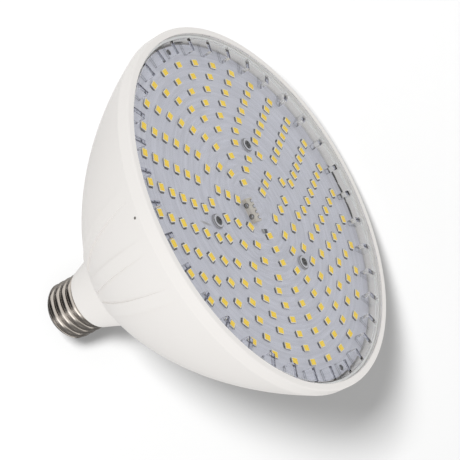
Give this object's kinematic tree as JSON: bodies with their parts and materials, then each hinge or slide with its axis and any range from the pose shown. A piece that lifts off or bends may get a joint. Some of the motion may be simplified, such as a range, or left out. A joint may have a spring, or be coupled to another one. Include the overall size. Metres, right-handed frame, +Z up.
{
  "type": "pool light bulb",
  "caption": "Bowl-shaped LED pool light bulb: white moulded housing, clear finned cover over a round LED board, and a medium screw base.",
  "frame": {"origin": "end of the centre contact, on the bulb's axis", "axes": "+Y points out of the screw base along the bulb's axis, so the lit face looks along -Y, level, as in the wall of a pool; +Z up, square to one arm of the LED rings"},
  "size_m": [0.1596, 0.122, 0.1596],
  "materials": {
    "white_plastic": "satin moulded",
    "clear_plastic": "clear polished",
    "sealant": "soft cured bead",
    "board_aluminium": "fine turned brushing",
    "chip_body": "moulded",
    "phosphor": "silicone gel",
    "screw_steel": "plated",
    "block_plastic": "moulded",
    "tinned_contact": "tinned",
    "black_component": "moulded",
    "thermal_silicone": "soft",
    "spreader_aluminium": "mill",
    "driver_laminate": "lacquered",
    "ferrite": "sintered",
    "winding_tape": "taped",
    "capacitor_sleeve": "shrink sleeve",
    "film_case": "moulded",
    "fuse_body": "lacquered",
    "lead_insulation": "extruded",
    "nickel_plate": "rolled and plated",
    "insulator": "moulded",
    "contact_tin": "tinned"
  },
  "bodies": {
    "root": {"housing": "white_plastic", "lens_cover": "clear_plastic", "cover_seal": "sealant", "led_board": "board_aluminium", "led_packages": "chip_body", "led_phosphors": "phosphor", "board_screws": "screw_steel", "terminal_block": "block_plastic", "terminal_contacts": "tinned_contact", "board_resistor": "black_component", "thermal_pad": "thermal_silicone", "heat_spreader": "spreader_aluminium", "driver_board": "driver_laminate", "transformer_core": "ferrite", "transformer_winding": "winding_tape", "bulk_capacitors": "capacitor_sleeve", "film_capacitor": "film_case", "filter_inductor": "ferrite", "bridge_rectifier": "black_component", "driver_chip": "black_component", "fuse_resistor": "fuse_body", "output_leads": "lead_insulation", "input_leads": "lead_insulation", "screw_shell": "nickel_plate", "base_insulator": "insulator", "centre_contact": "contact_tin"}
  },
  "joints": []
}
